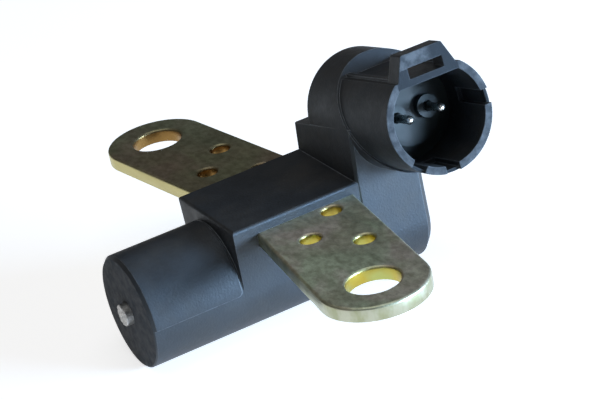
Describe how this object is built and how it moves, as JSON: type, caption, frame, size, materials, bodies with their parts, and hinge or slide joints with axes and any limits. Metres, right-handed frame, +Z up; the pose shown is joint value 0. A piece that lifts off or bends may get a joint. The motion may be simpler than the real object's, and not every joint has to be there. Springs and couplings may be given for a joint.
{
  "type": "crankshaft position sensor",
  "caption": "Black inductive speed sensor with a round nose and steel pole, a swept zinc-plated bracket with end holes, and a tilted round plug socket with a latch bridge.",
  "frame": {"origin": "midway between the two fixing holes, on the underside of the bracket", "axes": "+X through the fixing holes towards the socket's mouth, -Y along the sensing axis towards the pole piece, +Z up out of the bracket's top face"},
  "size_m": [0.1006, 0.0636, 0.0456],
  "materials": {
    "moulding_black": "matte moulded",
    "bracket_zinc": "yellow passivated zinc plate",
    "pole_steel": "bare, rough ground",
    "seal_rubber": "moulded",
    "bobbin_plastic": "natural moulded",
    "winding_copper": "enamelled copper wire",
    "tape_plastic": "film tape",
    "magnet_grey": "ground",
    "disc_steel": "stamped",
    "post_tinned": "tinned",
    "solder_grey": "flowed solder",
    "strip_brass": "stamped",
    "pin_tinned": "tinned, bright",
    "carrier_plastic": "satin moulded"
  },
  "bodies": {
    "root": {"moulded_body": "moulding_black", "mounting_bracket": "bracket_zinc", "pole_piece": "pole_steel", "pole_seal_ring": "seal_rubber", "coil_bobbin": "bobbin_plastic", "coil_winding": "winding_copper", "winding_tape": "tape_plastic", "bar_magnet": "magnet_grey", "flux_disc": "disc_steel", "pin_carrier": "carrier_plastic", "terminal_post_front": "post_tinned", "post_solder_front": "solder_grey", "lead_strip_front": "strip_brass", "pin_solder_front": "solder_grey", "contact_pin_front": "pin_tinned", "terminal_post_rear": "post_tinned", "post_solder_rear": "solder_grey", "lead_strip_rear": "strip_brass", "pin_solder_rear": "solder_grey", "contact_pin_rear": "pin_tinned"}
  },
  "joints": []
}
